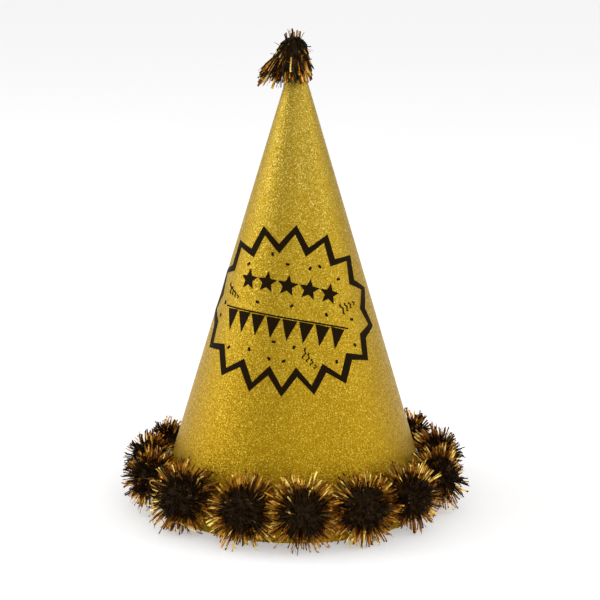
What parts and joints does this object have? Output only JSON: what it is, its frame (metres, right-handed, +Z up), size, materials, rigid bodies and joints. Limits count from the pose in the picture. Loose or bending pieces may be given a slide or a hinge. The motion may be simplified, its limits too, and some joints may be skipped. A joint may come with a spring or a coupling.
{
  "type": "party cone hat",
  "caption": "Tall rolled-card cone hat with a gold glitter face, a black starburst print, tinsel pompoms glued round the rim and one pushed over the tip.",
  "frame": {"origin": "centre of the rim's circle, on the surface that the rim stands on", "axes": "+Z up the cone's axis towards the tip, -Y towards the printed front, +X to the right of the print as seen from the front"},
  "size_m": [0.1999, 0.2006, 0.2545],
  "materials": {
    "card": "uncoated white card",
    "gold_glitter": "fine gold glitter flakes in a clear binder",
    "tape": "thin double-sided tape",
    "black_film": "satin black heat-pressed film",
    "tinsel": "metallised black and gold tinsel strands",
    "thread": "twisted black thread",
    "hot_glue": "set hot-melt glue"
  },
  "bodies": {
    "root": {"board_cone": "card", "glitter_cover": "gold_glitter", "seam_tape": "tape", "burst_outline": "black_film", "star_row": "black_film", "pennant_row": "black_film", "confetti": "black_film", "streamers": "black_film", "pompom_ties": "thread", "glue_dots": "hot_glue", "tip_pompom": "tinsel", "tip_tie": "thread", "tip_glue": "hot_glue", "rim_pompom_01": "tinsel", "rim_pompom_02": "tinsel", "rim_pompom_03": "tinsel", "rim_pompom_04": "tinsel", "rim_pompom_05": "tinsel", "rim_pompom_06": "tinsel", "rim_pompom_07": "tinsel", "rim_pompom_08": "tinsel", "rim_pompom_09": "tinsel", "rim_pompom_10": "tinsel", "rim_pompom_11": "tinsel", "rim_pompom_12": "tinsel", "rim_pompom_13": "tinsel", "rim_pompom_14": "tinsel", "rim_pompom_15": "tinsel"}
  },
  "joints": []
}
